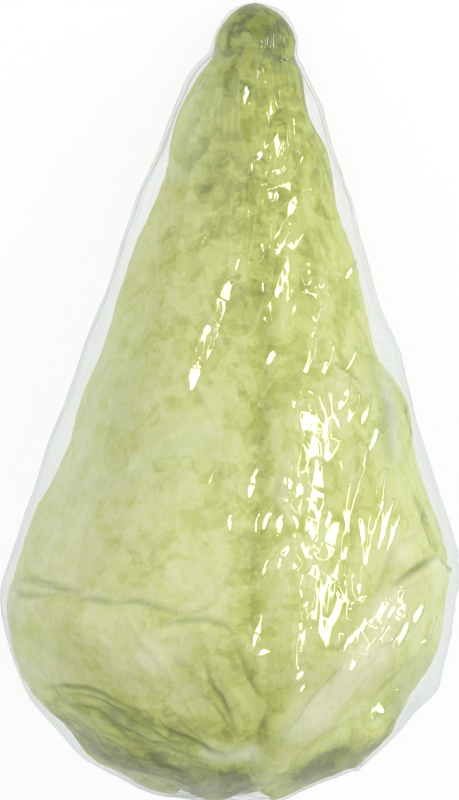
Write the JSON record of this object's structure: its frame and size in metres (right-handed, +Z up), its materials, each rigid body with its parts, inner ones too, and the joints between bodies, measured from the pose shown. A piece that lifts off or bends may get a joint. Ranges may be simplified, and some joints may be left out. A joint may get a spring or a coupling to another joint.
{
  "type": "pointed cabbage in a clear film wrap",
  "caption": "Trimmed pointed cabbage lying on its side: a conical head of overlapping leaves on a cut stem, tightly wrapped in clear film.",
  "frame": {"origin": "on the surface that the cabbage lies on, under the middle of its bounding box", "axes": "+Y from the cut stem to the pointed tip, +X to the right seen from above with the tip away, +Z up from the surface"},
  "size_m": [0.1418, 0.2462, 0.1235],
  "materials": {
    "stem": "matte",
    "heart": "satin",
    "tip_leaf": "satin",
    "leaf": "satin",
    "outer_leaf": "satin",
    "film": "gloss"
  },
  "bodies": {
    "root": {"stem_core": "stem", "heart_leaves": "heart", "tip_leaf_back": "tip_leaf", "tip_leaf_front": "tip_leaf", "under_leaf": "leaf", "back_leaf_right": "leaf", "back_leaf_left": "leaf", "outer_leaf_back": "outer_leaf", "left_leaf": "leaf", "centre_leaf": "leaf", "right_leaf": "leaf", "side_leaf_right": "leaf", "front_leaf": "leaf", "outer_leaf_left": "outer_leaf", "outer_leaf_right": "outer_leaf", "film_wrap": "film"}
  },
  "joints": []
}
